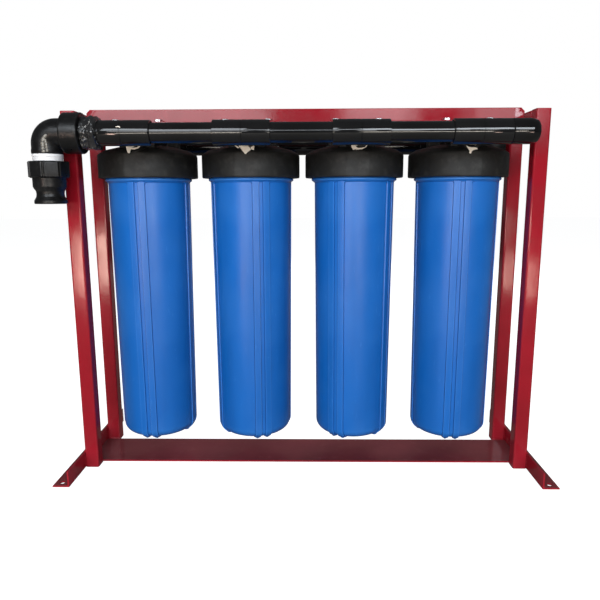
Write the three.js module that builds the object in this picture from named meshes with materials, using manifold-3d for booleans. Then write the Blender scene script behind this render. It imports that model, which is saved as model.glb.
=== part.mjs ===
// Bank of four full-flow water filter housings on a floor stand.
// Millimetres. Z is up, Y runs from the front of the stand to its back, X along the row.
// The origin is on the floor, midway along the stand, below the row of housing axes.
import * as THREE from 'three';
import { mergeVertices } from 'three/addons/utils/BufferGeometryUtils.js';
import Module from 'manifold-3d';

const wasm = await Module();
wasm.setup();

// ---- stand ----
const HALF_WIDTH = 416;            // centre to the outer face of the legs
const TUBE = 25;                   // square tube of legs and side rails
const TUBE_WALL = 2;
const LEG_HEIGHT = 650;
const LEG_FRONT_Y = -105;          // front face of the front legs
const LEG_REAR_Y = 20;             // front face of the rear legs
const PLATE = 3;                   // steel plate and angle thickness
const FOOT_FRONT_Y = -182;
const FOOT_REAR_Y = 122;
const FOOT_FLANGE = 30;            // both legs of the foot angle
const FOOT_HOLE_R = 4.5;
const FOOT_HOLE_INSET = 12;        // hole centre to the end of the foot
const RAIL_FLANGE_Y = 30;          // horizontal leg of the cap rails
const RAIL_FLANGE_Z = 27;          // upright leg of the cap rails
const RAIL_HEEL_Y = 45;            // axis plane of the housings to the back of the upright leg
const RAIL_CHAMFER = 6;

// ---- housings ----
const HOUSINGS = 4;
const PITCH = 195;
const ROW_CENTRE_X = -4;
const CAP_R = 92;
const CAP_BOTTOM_Z = 539;
const SKIRT_TOP_Z = 582;
const SHOULDER_Z = 589.5;
const SHOULDER_R = 80;
const DOME_TOP_Z = 597;
const DOME_TOP_R = 50;
const CAP_FLAT_Y = 90;             // axis to the flats at the front and back of the skirt
const CAP_TOP_Z = 632;             // screw pads, underside of the cap rails
const CAP_CEILING_Z = 574.9;
const THREAD_R = 79;               // sump neck
const THREAD_GAP = 1.0;
const PORT_Z = 608;
const PORT_R = 23;
const PORT_FACE_Y = 94;
const PORT_TAP_R = 17.1;
const PORT_TAP_DEPTH = 20;
const PORT_WATER_R = 12;
const RAW_WATER_Y = -50;           // passage down to the space round the cartridge
const SCREW_X = 38;
const SCREW_Y = 60;
const SCREW_HOLE_R = 4.3;
const SCREW_HOLE_DEPTH = 24;
const SCREW_R = 3.9;
const SCREW_DEPTH = 20;
const SCREW_HEAD_R = 7.5;
const SCREW_HEAD_HEIGHT = 5;
const EAR_HALF_X = 47;             // ears of the screw pads
const EAR_BOTTOM_Z = 598;
const PAD_HALF_X = 32;             // web below the ears
const PAD_HALF_Y = 11;

const FLANGE_R = 80.3;
const FLANGE_BOTTOM_Z = 532;
const FLANGE_TOP_Z = 538.6;
const NECK_TOP_Z = 574;
const NECK_BORE_R = 70;
const SUMP_TOP_R = 76.4;
const SUMP_FOOT_R = 72.6;
const SUMP_BOTTOM_Z = 40;
const SUMP_CORNER_R = 20;
const SUMP_WALL = 6.5;
const PANEL_INSET = 1.4;           // wall between the raised bands lies this far in
const BAND_PAIRS = 4;
const BAND_OUTER_X = 15.5;         // centre of a pair to the outer edge of its bands
const CHANNEL_HALF_X = 3.9;        // half the channel between the two bands
const BAND_TOP_Z = 528;
const NUB_X = 9.7;                 // centre of a pair to the middle of a foot nub
const NUB_HALF_X = 3;
const NUB_PROUD = 1.4;
const NUB_DROP = 3;
const BOWL_TURN_DEG = [-3.5, 18.5, -29, -5.6];
const POST_R = 12.5;
const POST_TOP_Z = 76;
const SEAT_R = 26;
const SEAT_TOP_Z = 56;
const FLOOR_CORNER = 12;           // chamfer round the bowl floor
const RING_MAJOR_R = 75;
const RING_MINOR_R = 2.6;
const RING_Z = 572.2;
const CARTRIDGE_R = 57;
const CARTRIDGE_BORE_R = 14;
const CARTRIDGE_BOTTOM_Z = 56.3;
const CARTRIDGE_TOP_Z = 564.3;
const SPIGOT_R = 13;
const SPIGOT_BOTTOM_Z = 552;
const BOSS_R = 22;

// ---- manifolds ----
const MANIFOLD_Y = -147;
const TEE_R = 20.6;
const TEE_HALF = 47;
const FIRST_TEE_HALF = 37.5;       // cut short on the side of the reducer
const TEE_BRANCH = 36;             // pipe axis to the end of the branch socket
const PIPE_R = 16.7;
const PIPE_BORE_R = 13;
const SOCKET_R = 17.1;
const SOCKET_DEPTH = 24;
const PIPE_INSERT = 23;
const NIPPLE_END_Y = -78;          // threaded end inside the cap port
const END_CAP_LENGTH = 43.5;
const HEX_R = 29.5;
const HEX_LENGTH = 26.5;
const REDUCER_THREAD = 15;
const REDUCER_THREAD_R = 23.6;
const ELBOW_COLLAR_R = 33;
const ELBOW_COLLAR_LENGTH = 30;
const ELBOW_R = 24.1;
const ELBOW_BORE_R = 18;
const ELBOW_SOCKET_R = 24.2;       // thread in the collar
const ELBOW_SOCKET_DEPTH = 20;
const ELBOW_AXIS_OFFSET = 126.5;   // first housing axis to the axis of the down leg
const ELBOW_BOTTOM_Z = 575.4;
const LEG_SOCKET_R = 21.5;         // thread in the down leg and in the coupling
const NIPPLE_BOTTOM_Z = 563.3;
const NIPPLE_LIP_Z = 571;
const NIPPLE_LIP_R = 24.3;
const NIPPLE_BAND_R = 23.4;
const NIPPLE_THREAD_R = 21;
const NIPPLE_BORE_R = 17;
const COUPLING_BOTTOM_Z = 494.2;
const COUPLING_RIM_R = 26.1;
const COUPLING_WAIST_R = 21.8;
const COUPLING_BARREL_R = 26.5;
const COUPLING_COLLAR_R = 30.6;
const COUPLING_BORE_R = 16;
const LUGS = 8;
const LUG_HALF_WIDTH = 11;
const LUG_FACE_R = 31.3;
const LUG_TURN_DEG = 29.7;

const ROUND = 24;                  // facets of the big round parts
const FINE = 16;                   // facets of the pipe fittings
const SMALL = 8;                   // facets of screws and their holes

// ---- colours ----
const RED = { color: 0x9b1c28, roughness: 0.3, metalness: 0.1 };
const BLACK = { color: 0x262626, roughness: 0.75, metalness: 0 };
const GLOSS = { color: 0x141414, roughness: 0.25, metalness: 0 };
const SATIN = { color: 0x202022, roughness: 0.5, metalness: 0 };
const BLUE = { color: 0x2368c8, roughness: 0.4, metalness: 0 };
const WHITE = { color: 0xe8e8ea, roughness: 0.4, metalness: 0 };
const FIBRE = { color: 0xf0eee6, roughness: 0.9, metalness: 0 };
const RUBBER = { color: 0x111111, roughness: 0.9, metalness: 0 };
const ZINC = { color: 0xc8c8cc, roughness: 0.35, metalness: 0.9 };

const group = new THREE.Group();
group.name = 'filter_bank';

// ---- helpers: solids in and out of the boolean kernel ----
function solid(geometry) {
  const bare = geometry.clone();
  bare.deleteAttribute('normal');
  bare.deleteAttribute('uv');
  const merged = mergeVertices(bare, 1e-4);
  const index = merged.index.array;
  const kept = [];
  for (let i = 0; i < index.length; i += 3) {
    const [a, b, c] = [index[i], index[i + 1], index[i + 2]];
    if (a !== b && b !== c && a !== c) kept.push(a, b, c);
  }
  const mesh = new wasm.Mesh({
    numProp: 3,
    vertProperties: new Float32Array(merged.attributes.position.array),
    triVerts: new Uint32Array(kept),
  });
  mesh.merge();
  return new wasm.Manifold(mesh);
}

function geometryOf(body) {
  const mesh = body.getMesh();
  const geometry = new THREE.BufferGeometry();
  geometry.setAttribute('position', new THREE.BufferAttribute(new Float32Array(mesh.vertProperties), 3));
  geometry.setIndex(new THREE.BufferAttribute(new Uint32Array(mesh.triVerts), 1));
  geometry.computeVertexNormals();
  return geometry;
}

function addNode(name, body, finish) {
  const mesh = new THREE.Mesh(geometryOf(body), new THREE.MeshStandardMaterial(finish));
  mesh.name = name;
  group.add(mesh);
}

function block(x0, x1, y0, y1, z0, z1) {
  const geometry = new THREE.BoxGeometry(x1 - x0, y1 - y0, z1 - z0);
  geometry.translate((x0 + x1) / 2, (y0 + y1) / 2, (z0 + z1) / 2);
  return solid(geometry);
}

function rodX(radius, x0, x1, y, z, facets = FINE) {
  const geometry = new THREE.CylinderGeometry(radius, radius, x1 - x0, facets);
  geometry.rotateZ(Math.PI / 2);
  geometry.translate((x0 + x1) / 2, y, z);
  return solid(geometry);
}

function rodY(radius, y0, y1, x, z, facets = FINE) {
  const geometry = new THREE.CylinderGeometry(radius, radius, y1 - y0, facets);
  geometry.translate(x, (y0 + y1) / 2, z);
  return solid(geometry);
}

function rodZ(radius, z0, z1, x, y, facets = FINE) {
  const geometry = new THREE.CylinderGeometry(radius, radius, z1 - z0, facets);
  geometry.rotateX(Math.PI / 2);
  geometry.translate(x, y, (z0 + z1) / 2);
  return solid(geometry);
}

// Solid of revolution about the Z axis; the profile lists [radius, height] from the bottom up.
function turned(profile, facets = ROUND) {
  const points = profile.map(([radius, height]) => new THREE.Vector2(radius, height));
  const geometry = new THREE.LatheGeometry(points, facets);
  geometry.rotateX(Math.PI / 2);
  return solid(geometry);
}

// ---- stand ----
function legTube(x0, y0) {
  const outer = block(x0, x0 + TUBE, y0, y0 + TUBE, 0, LEG_HEIGHT);
  const inner = block(
    x0 + TUBE_WALL, x0 + TUBE - TUBE_WALL,
    y0 + TUBE_WALL, y0 + TUBE - TUBE_WALL,
    -1, LEG_HEIGHT - TUBE_WALL,
  );
  return outer.subtract(inner);
}

for (const [side, x0] of [['left', -HALF_WIDTH], ['right', HALF_WIDTH - TUBE]]) {
  addNode(`leg_front_${side}`, legTube(x0, LEG_FRONT_Y), RED);
  addNode(`leg_rear_${side}`, legTube(x0, LEG_REAR_Y), RED);

  const railZ = LEG_HEIGHT - TUBE;
  const rail = block(x0, x0 + TUBE, LEG_FRONT_Y + TUBE, LEG_REAR_Y, railZ, LEG_HEIGHT)
    .subtract(block(
      x0 + TUBE_WALL, x0 + TUBE - TUBE_WALL,
      LEG_FRONT_Y, LEG_REAR_Y + TUBE,
      railZ + TUBE_WALL, LEG_HEIGHT - TUBE_WALL,
    ));
  addNode(`side_rail_${side}`, rail, RED);
}

for (const [side, sign] of [['left', -1], ['right', 1]]) {
  const inner = sign * HALF_WIDTH;
  const web = inner + sign * PLATE;
  const outer = inner + sign * FOOT_FLANGE;
  const upright = block(
    Math.min(inner, web), Math.max(inner, web), FOOT_FRONT_Y, FOOT_REAR_Y, 0, FOOT_FLANGE,
  );
  const flat = block(
    Math.min(inner, outer), Math.max(inner, outer), FOOT_FRONT_Y, FOOT_REAR_Y, 0, PLATE,
  );
  let foot = upright.add(flat);
  const holeX = (web + outer) / 2;
  for (const holeY of [FOOT_FRONT_Y + FOOT_HOLE_INSET, FOOT_REAR_Y - FOOT_HOLE_INSET]) {
    foot = foot.subtract(rodZ(FOOT_HOLE_R, -1, PLATE + 1, holeX, holeY, SMALL));
  }
  addNode(`foot_${side}`, foot, RED);
}

addNode(
  'base_plate',
  block(-HALF_WIDTH, HALF_WIDTH, LEG_FRONT_Y + TUBE, LEG_REAR_Y, 0, PLATE),
  RED,
);

function housingX(number) {
  return ROW_CENTRE_X + (number - (HOUSINGS + 1) / 2) * PITCH;
}

// Angle rail carrying the caps; side is -1 in front of the housing axes and +1 behind them.
function capRail(side, halfLength, chamfer) {
  const heel = side * RAIL_HEEL_Y;
  const face = heel + side * PLATE;
  const lip = heel + side * RAIL_FLANGE_Y;
  const upright = new THREE.Shape();
  const low = CAP_TOP_Z;
  const high = CAP_TOP_Z + RAIL_FLANGE_Z;
  upright.moveTo(-halfLength, low);
  upright.lineTo(halfLength, low);
  upright.lineTo(halfLength, high - chamfer);
  upright.lineTo(halfLength - chamfer, high);
  upright.lineTo(-halfLength + chamfer, high);
  upright.lineTo(-halfLength, high - chamfer);
  upright.closePath();
  const plate = new THREE.ExtrudeGeometry(upright, { depth: PLATE, bevelEnabled: false });
  plate.rotateX(Math.PI / 2);
  plate.translate(0, Math.max(heel, face), 0);
  let rail = solid(plate).add(block(
    -halfLength, halfLength,
    Math.min(heel, lip), Math.max(heel, lip),
    low, low + PLATE,
  ));
  for (let number = 1; number <= HOUSINGS; number += 1) {
    for (const dx of [-SCREW_X, SCREW_X]) {
      const x = housingX(number) + dx;
      rail = rail.subtract(rodZ(SCREW_HOLE_R, low - 1, low + PLATE + 1, x, side * SCREW_Y, SMALL));
    }
  }
  return rail;
}

addNode('cap_rail_front', capRail(-1, HALF_WIDTH - TUBE, RAIL_CHAMFER), RED);
addNode('cap_rail_rear', capRail(1, HALF_WIDTH, RAIL_CHAMFER), RED);

// ---- one housing, built about the Z axis ----
function capBody() {
  let cap = turned([
    [0, CAP_BOTTOM_Z],
    [CAP_R, CAP_BOTTOM_Z],
    [CAP_R, SKIRT_TOP_Z],
    [SHOULDER_R, SHOULDER_Z],
    [DOME_TOP_R, DOME_TOP_Z],
    [0, DOME_TOP_Z],
  ]).intersect(block(-CAP_R, CAP_R, -CAP_FLAT_Y, CAP_FLAT_Y, 0, CAP_TOP_Z));
  // Threaded bore with the boss and spigot that centre the cartridge.
  cap = cap.subtract(turned([
    [0, CAP_BOTTOM_Z - 1],
    [THREAD_R + THREAD_GAP, CAP_BOTTOM_Z - 1],
    [THREAD_R + THREAD_GAP, CAP_CEILING_Z],
    [BOSS_R, CAP_CEILING_Z],
    [BOSS_R, CARTRIDGE_TOP_Z + 0.4],
    [SPIGOT_R, CARTRIDGE_TOP_Z + 0.4],
    [SPIGOT_R, SPIGOT_BOTTOM_Z],
    [0, SPIGOT_BOTTOM_Z],
  ]));
  cap = cap.add(rodY(PORT_R, -PORT_FACE_Y, PORT_FACE_Y, 0, PORT_Z));
  for (const side of [-1, 1]) {
    const y = side * SCREW_Y;
    const near = y - PAD_HALF_Y;
    const far = y + PAD_HALF_Y;
    cap = cap
      .add(block(-EAR_HALF_X, EAR_HALF_X, near, far, EAR_BOTTOM_Z, CAP_TOP_Z))
      .add(block(-PAD_HALF_X, PAD_HALF_X, near, far, SKIRT_TOP_Z, EAR_BOTTOM_Z + 1));
  }
  for (const side of [-1, 1]) {
    for (const dx of [-SCREW_X, SCREW_X]) {
      cap = cap.subtract(rodZ(
        SCREW_HOLE_R, CAP_TOP_Z - SCREW_HOLE_DEPTH, CAP_TOP_Z + 1, dx, side * SCREW_Y, SMALL,
      ));
    }
    const tapStart = side * (PORT_FACE_Y - PORT_TAP_DEPTH);
    const tapEnd = side * (PORT_FACE_Y + 1);
    cap = cap.subtract(rodY(PORT_TAP_R, Math.min(tapStart, tapEnd), Math.max(tapStart, tapEnd), 0, PORT_Z));
  }
  // The front port opens into the space round the cartridge, the rear one into its bore.
  const rawEnd = RAW_WATER_Y + PORT_WATER_R;
  cap = cap.subtract(rodY(PORT_WATER_R, -PORT_FACE_Y, rawEnd, 0, PORT_Z, SMALL));
  cap = cap.subtract(rodZ(PORT_WATER_R, CAP_CEILING_Z - 1, PORT_Z, 0, RAW_WATER_Y, SMALL));
  cap = cap.subtract(rodY(PORT_WATER_R, -BOSS_R / 3, PORT_FACE_Y, 0, PORT_Z, SMALL));
  cap = cap.subtract(rodZ(PORT_WATER_R - 3, SPIGOT_BOTTOM_Z - 1, PORT_Z, 0, 0, SMALL));
  return cap;
}

function sumpProfile(inset, drop) {
  const top = SUMP_TOP_R - inset;
  const foot = SUMP_FOOT_R - inset;
  const bottom = SUMP_BOTTOM_Z - drop;
  const profile = [[0, bottom + 2], [foot - SUMP_CORNER_R, bottom]];
  const steps = 2;
  for (let step = 1; step <= steps; step += 1) {
    const turn = (step / steps) * (Math.PI / 2);
    profile.push([
      foot - SUMP_CORNER_R + SUMP_CORNER_R * Math.sin(turn),
      bottom + SUMP_CORNER_R * (1 - Math.cos(turn)),
    ]);
  }
  return { profile, top };
}

function sumpBody() {
  const panel = sumpProfile(PANEL_INSET, 0);
  let sump = turned([
    ...panel.profile,
    [panel.top, BAND_TOP_Z + 2],
    [FLANGE_R, FLANGE_BOTTOM_Z],
    [FLANGE_R, FLANGE_TOP_Z],
    [THREAD_R, FLANGE_TOP_Z],
    [THREAD_R, NECK_TOP_Z],
    [0, NECK_TOP_Z],
  ]);
  const bandForm = sumpProfile(0, NUB_DROP * 0.4);
  const band = turned([...bandForm.profile, [bandForm.top, BAND_TOP_Z], [0, BAND_TOP_Z]]);
  const nubForm = sumpProfile(-NUB_PROUD, NUB_DROP);
  const nubTop = SUMP_BOTTOM_Z + SUMP_CORNER_R;
  const nub = turned([...nubForm.profile, [0, nubTop]]);
  const reach = SUMP_TOP_R + 10;
  const hub = SUMP_FOOT_R - SUMP_CORNER_R - 6;
  for (let number = 0; number < BAND_PAIRS; number += 1) {
    for (const side of [-1, 1]) {
      const bandEdges = [side * CHANNEL_HALF_X, side * BAND_OUTER_X];
      const bandCut = block(
        Math.min(...bandEdges), Math.max(...bandEdges), -reach, -hub, 0, BAND_TOP_Z + 5,
      );
      const nubCut = block(
        side * NUB_X - NUB_HALF_X, side * NUB_X + NUB_HALF_X, -reach, -hub, 0, nubTop + 5,
      );
      const turn = [0, 0, number * (360 / BAND_PAIRS)];
      sump = sump
        .add(band.intersect(bandCut.rotate(turn)))
        .add(nub.intersect(nubCut.rotate(turn)));
    }
  }
  // Hollow round the seat and centring post of the cartridge, then the groove of the seal.
  const innerTop = SUMP_TOP_R - SUMP_WALL;
  const innerFoot = SUMP_FOOT_R - SUMP_WALL - 1;
  const floor = SUMP_BOTTOM_Z + SUMP_WALL + 1;
  const hollow = turned([
    [0, POST_TOP_Z],
    [POST_R, POST_TOP_Z],
    [POST_R, SEAT_TOP_Z],
    [SEAT_R, SEAT_TOP_Z],
    [SEAT_R, floor],
    [innerFoot - FLOOR_CORNER, floor],
    [innerFoot, floor + FLOOR_CORNER],
    [innerTop, BAND_TOP_Z],
    [NECK_BORE_R, FLANGE_TOP_Z],
    [NECK_BORE_R, NECK_TOP_Z + 1],
    [0, NECK_TOP_Z + 1],
  ]);
  sump = sump.subtract(hollow);
  const grooveHalf = RING_MINOR_R + 0.35;
  const grooveZ = RING_Z - RING_MINOR_R - 0.15;
  const groove = rodZ(RING_MAJOR_R + grooveHalf, grooveZ, NECK_TOP_Z + 1, 0, 0, ROUND)
    .subtract(rodZ(RING_MAJOR_R - grooveHalf, grooveZ - 1, NECK_TOP_Z + 2, 0, 0, ROUND));
  return sump.subtract(groove);
}

function ringBody() {
  const geometry = new THREE.TorusGeometry(RING_MAJOR_R, RING_MINOR_R, 6, ROUND);
  geometry.translate(0, 0, RING_Z);
  return solid(geometry);
}

function cartridgeBody() {
  const low = CARTRIDGE_BOTTOM_Z;
  const high = CARTRIDGE_TOP_Z;
  return turned([
    [CARTRIDGE_BORE_R, low],
    [CARTRIDGE_R, low],
    [CARTRIDGE_R, high],
    [CARTRIDGE_BORE_R, high],
    [CARTRIDGE_BORE_R, low],
  ], FINE);
}

const cap = capBody();
const sump = sumpBody();
const seal = ringBody();
const cartridge = cartridgeBody();
for (let number = 1; number <= HOUSINGS; number += 1) {
  const place = [housingX(number), 0, 0];
  addNode(`cap_${number}`, cap.translate(place), BLACK);
  const turn = [0, 0, BOWL_TURN_DEG[number - 1]];
  addNode(`sump_${number}`, sump.rotate(turn).translate(place), BLUE);
  addNode(`o_ring_${number}`, seal.rotate(turn).translate(place), RUBBER);
  addNode(`cartridge_${number}`, cartridge.rotate(turn).translate(place), FIBRE);
}

// ---- screws through the front cap rail ----
function screwBody(x, y) {
  const seat = CAP_TOP_Z + PLATE;
  const shank = rodZ(SCREW_R, CAP_TOP_Z - SCREW_DEPTH, seat + 1, x, y, SMALL);
  const head = rodZ(SCREW_HEAD_R, seat, seat + SCREW_HEAD_HEIGHT, 0, 0, 6)
    .rotate([0, 0, 30])
    .translate([x, y, 0]);
  return shank.add(head);
}

for (let number = 1; number <= HOUSINGS; number += 1) {
  for (const [side, dx] of [['left', -SCREW_X], ['right', SCREW_X]]) {
    addNode(`screw_${number}_${side}`, screwBody(housingX(number) + dx, -SCREW_Y), ZINC);
  }
}

// ---- manifolds: built for the front, turned half round the row centre for the back ----
// tipDeg tips the back copy about its pipe axis, from pointing down towards pointing back.
function addPair(name, body, finish, tipDeg = 0) {
  addNode(`inlet_${name}`, body, finish);
  const back = body
    .translate([-ROW_CENTRE_X, 0, 0])
    .rotate([0, 0, 180])
    .translate([ROW_CENTRE_X, MANIFOLD_Y, -PORT_Z])
    .rotate([tipDeg, 0, 0])
    .translate([0, -MANIFOLD_Y, PORT_Z]);
  addNode(`outlet_${name}`, back, finish);
}
const OUTLET_TIP_DEG = 90;

function teeBody(x, leftHalf) {
  const left = x - leftHalf;
  const right = x + TEE_HALF;
  let tee = rodX(TEE_R, left, right, MANIFOLD_Y, PORT_Z);
  const branchEnd = MANIFOLD_Y + TEE_BRANCH;
  tee = tee.add(rodY(TEE_R - 1, MANIFOLD_Y, branchEnd, x, PORT_Z));
  tee = tee.add(rodY(PIPE_R, MANIFOLD_Y, NIPPLE_END_Y, x, PORT_Z));
  tee = tee.subtract(rodX(PIPE_BORE_R, left, right, MANIFOLD_Y, PORT_Z, SMALL));
  tee = tee.subtract(rodY(PORT_WATER_R, MANIFOLD_Y, NIPPLE_END_Y + 1, x, PORT_Z, SMALL));
  tee = tee.subtract(rodX(SOCKET_R, left - 1, left + SOCKET_DEPTH, MANIFOLD_Y, PORT_Z));
  tee = tee.subtract(rodX(SOCKET_R, right - SOCKET_DEPTH, right + 1, MANIFOLD_Y, PORT_Z));
  return tee;
}

for (let number = 1; number <= HOUSINGS; number += 1) {
  const leftHalf = number === 1 ? FIRST_TEE_HALF : TEE_HALF;
  addPair(`tee_${number}`, teeBody(housingX(number), leftHalf), GLOSS);
}

for (let number = 1; number < HOUSINGS; number += 1) {
  const x0 = housingX(number) + TEE_HALF - PIPE_INSERT;
  const x1 = housingX(number + 1) - TEE_HALF + PIPE_INSERT;
  const pipe = rodX(PIPE_R, x0, x1, MANIFOLD_Y, PORT_Z)
    .subtract(rodX(PIPE_BORE_R, x0 - 1, x1 + 1, MANIFOLD_Y, PORT_Z));
  addPair(`pipe_${number}`, pipe, GLOSS);
}

const lastEnd = housingX(HOUSINGS) + TEE_HALF + 0.5;
const endCap = rodX(TEE_R, lastEnd, lastEnd + END_CAP_LENGTH, MANIFOLD_Y, PORT_Z)
  .add(rodX(PIPE_R, lastEnd - PIPE_INSERT, lastEnd + 1, MANIFOLD_Y, PORT_Z));
addPair('end_cap', endCap, GLOSS);

// Hex reducer between the first tee and the elbow.
const hexEnd = housingX(1) - FIRST_TEE_HALF - 0.5;
const hexStart = hexEnd - HEX_LENGTH;
const reducer = rodX(HEX_R, hexStart, hexEnd, MANIFOLD_Y, PORT_Z, 6)
  .add(rodX(PIPE_R, hexEnd - 1, hexEnd + PIPE_INSERT, MANIFOLD_Y, PORT_Z))
  .add(rodX(REDUCER_THREAD_R, hexStart - REDUCER_THREAD, hexStart + 1, MANIFOLD_Y, PORT_Z))
  .subtract(rodX(
    PORT_WATER_R, hexStart - REDUCER_THREAD - 1, hexEnd + PIPE_INSERT + 1, MANIFOLD_Y, PORT_Z,
  ));
addPair('reducer', reducer, SATIN);

// Elbow: collar facing the reducer, ball-shaped corner, plain leg down.
const elbowX = housingX(1) - ELBOW_AXIS_OFFSET;
const collarEnd = hexStart - 0.5;
const collarStart = collarEnd - ELBOW_COLLAR_LENGTH;
function ball(radius) {
  const geometry = new THREE.SphereGeometry(radius, FINE, FINE / 2);
  geometry.rotateX(Math.PI / 2);
  geometry.translate(elbowX, MANIFOLD_Y, PORT_Z);
  return solid(geometry);
}
const elbow = ball(ELBOW_R)
  .add(rodX(ELBOW_R, elbowX, collarStart + 1, MANIFOLD_Y, PORT_Z))
  .add(rodX(ELBOW_COLLAR_R, collarStart, collarEnd, MANIFOLD_Y, PORT_Z))
  .add(rodZ(ELBOW_R, ELBOW_BOTTOM_Z, PORT_Z, elbowX, MANIFOLD_Y))
  .subtract(ball(ELBOW_BORE_R))
  .subtract(rodX(ELBOW_BORE_R, elbowX, collarEnd, MANIFOLD_Y, PORT_Z))
  .subtract(rodX(ELBOW_SOCKET_R, collarEnd - ELBOW_SOCKET_DEPTH, collarEnd + 1, MANIFOLD_Y, PORT_Z))
  .subtract(rodZ(ELBOW_BORE_R, ELBOW_BOTTOM_Z - 1, PORT_Z, elbowX, MANIFOLD_Y))
  .subtract(rodZ(LEG_SOCKET_R, ELBOW_BOTTOM_Z - 1, ELBOW_BOTTOM_Z + 12, elbowX, MANIFOLD_Y));
addPair('elbow', elbow, SATIN, OUTLET_TIP_DEG);

// White threaded nipple with a lip, showing as a ring below the elbow.
const nippleLow = NIPPLE_BOTTOM_Z - 14;
const nippleHigh = ELBOW_BOTTOM_Z + 11;
const nipple = rodZ(NIPPLE_THREAD_R, nippleLow, nippleHigh, elbowX, MANIFOLD_Y)
  .add(rodZ(NIPPLE_BAND_R, NIPPLE_BOTTOM_Z + 0.3, NIPPLE_LIP_Z + 1, elbowX, MANIFOLD_Y))
  .add(rodZ(NIPPLE_LIP_R, NIPPLE_LIP_Z, ELBOW_BOTTOM_Z - 0.3, elbowX, MANIFOLD_Y))
  .subtract(rodZ(NIPPLE_BORE_R, nippleLow - 1, nippleHigh + 1, elbowX, MANIFOLD_Y));
addPair('nipple', nipple, WHITE, OUTLET_TIP_DEG);

// Cam-and-groove plug from its end rim up: rim, waist for the cam arms, barrel, lugged collar.
const plugHeights = {
  rim: COUPLING_BOTTOM_Z + 6,
  waistLow: COUPLING_BOTTOM_Z + 12.5,
  waistHigh: COUPLING_BOTTOM_Z + 20.5,
  barrel: COUPLING_BOTTOM_Z + 27,
  collar: COUPLING_BOTTOM_Z + 42,
  lugs: COUPLING_BOTTOM_Z + 45,
};
let coupling = turned([
  [0, COUPLING_BOTTOM_Z],
  [COUPLING_RIM_R, COUPLING_BOTTOM_Z],
  [COUPLING_RIM_R, plugHeights.rim],
  [COUPLING_WAIST_R, plugHeights.waistLow],
  [COUPLING_WAIST_R, plugHeights.waistHigh],
  [COUPLING_BARREL_R, plugHeights.barrel],
  [COUPLING_BARREL_R, plugHeights.collar],
  [COUPLING_COLLAR_R, plugHeights.collar],
  [COUPLING_COLLAR_R, NIPPLE_BOTTOM_Z],
  [0, NIPPLE_BOTTOM_Z],
], FINE);
for (let number = 0; number < LUGS; number += 1) {
  const lug = block(
    COUPLING_BARREL_R, LUG_FACE_R, -LUG_HALF_WIDTH, LUG_HALF_WIDTH,
    plugHeights.lugs, NIPPLE_BOTTOM_Z - 2,
  ).rotate([0, 0, number * (360 / LUGS) + LUG_TURN_DEG]);
  coupling = coupling.add(lug);
}
coupling = coupling
  .subtract(rodZ(COUPLING_BORE_R, COUPLING_BOTTOM_Z - 1, NIPPLE_BOTTOM_Z + 1, 0, 0))
  .subtract(rodZ(LEG_SOCKET_R, NIPPLE_BOTTOM_Z - 16, NIPPLE_BOTTOM_Z + 1, 0, 0))
  .translate([elbowX, MANIFOLD_Y, 0]);
addPair('coupling', coupling, SATIN, OUTLET_TIP_DEG);

export default group;
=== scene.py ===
import math

import bmesh
import bpy
import numpy as np
from mathutils import Matrix, Vector, noise

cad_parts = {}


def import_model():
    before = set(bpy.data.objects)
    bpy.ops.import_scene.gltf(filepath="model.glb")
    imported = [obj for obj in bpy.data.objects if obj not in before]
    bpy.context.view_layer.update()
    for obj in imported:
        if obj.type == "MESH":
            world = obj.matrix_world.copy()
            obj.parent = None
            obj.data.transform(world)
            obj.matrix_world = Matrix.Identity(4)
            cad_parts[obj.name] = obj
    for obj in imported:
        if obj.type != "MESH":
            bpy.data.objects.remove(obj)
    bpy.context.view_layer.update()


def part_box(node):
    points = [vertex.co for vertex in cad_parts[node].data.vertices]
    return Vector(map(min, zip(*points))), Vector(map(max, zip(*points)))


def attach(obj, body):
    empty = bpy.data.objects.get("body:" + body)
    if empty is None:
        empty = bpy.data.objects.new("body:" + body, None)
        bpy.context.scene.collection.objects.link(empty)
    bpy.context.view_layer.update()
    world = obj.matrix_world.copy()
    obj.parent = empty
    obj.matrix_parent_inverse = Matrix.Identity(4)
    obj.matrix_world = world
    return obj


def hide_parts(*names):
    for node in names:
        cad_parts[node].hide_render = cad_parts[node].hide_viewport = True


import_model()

MM = 0.001
TAU = 2 * math.pi
HOUSINGS = (1, 2, 3, 4)
CREASE_DEG = 32.0                  # sharper edges than this are creased
NO_CREASE_DEG = 180.0
FLAT_SEAM_DEG = 5, 17              # the turn from a flat into its rounded corner


def box(node):
    """Corners of a CAD node in millimetres."""
    low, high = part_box(node)
    return low / MM, high / MM


# Axes of the two pipe runs.
AXIS_Z = (box("inlet_pipe_1")[0].z + box("inlet_pipe_1")[1].z) / 2
FRONT_Y = (box("inlet_pipe_1")[0].y + box("inlet_pipe_1")[1].y) / 2
REAR_Y = (box("outlet_pipe_1")[0].y + box("outlet_pipe_1")[1].y) / 2


# ------------------------------------------------------------------ mesh helpers
def rounded(points, radius, steps=3, closed=False):
    """The polyline with its corners rounded; radius is one number or one per point."""
    points = [np.array(p, float) for p in points]
    count = len(points)
    radii = [radius] * count if isinstance(radius, (int, float)) else list(radius)
    out = []
    for i, corner in enumerate(points):
        if (not closed and i in (0, count - 1)) or radii[i] <= 0:
            out.append(corner)
            continue
        before = points[i - 1] - corner
        after = points[(i + 1) % count] - corner
        len_a, len_b = np.linalg.norm(before), np.linalg.norm(after)
        turn = math.acos(max(-1.0, min(1.0, -before @ after / (len_a * len_b))))
        if turn < 0.02:
            out.append(corner)
            continue
        reach = min(radii[i] * math.tan(turn / 2), 0.48 * len_a, 0.48 * len_b)
        start, end = corner + before / len_a * reach, corner + after / len_b * reach
        for k in range(steps + 1):
            t = k / steps
            out.append((1 - t) ** 2 * start + 2 * t * (1 - t) * corner + t * t * end)
    return np.array(out)


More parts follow.
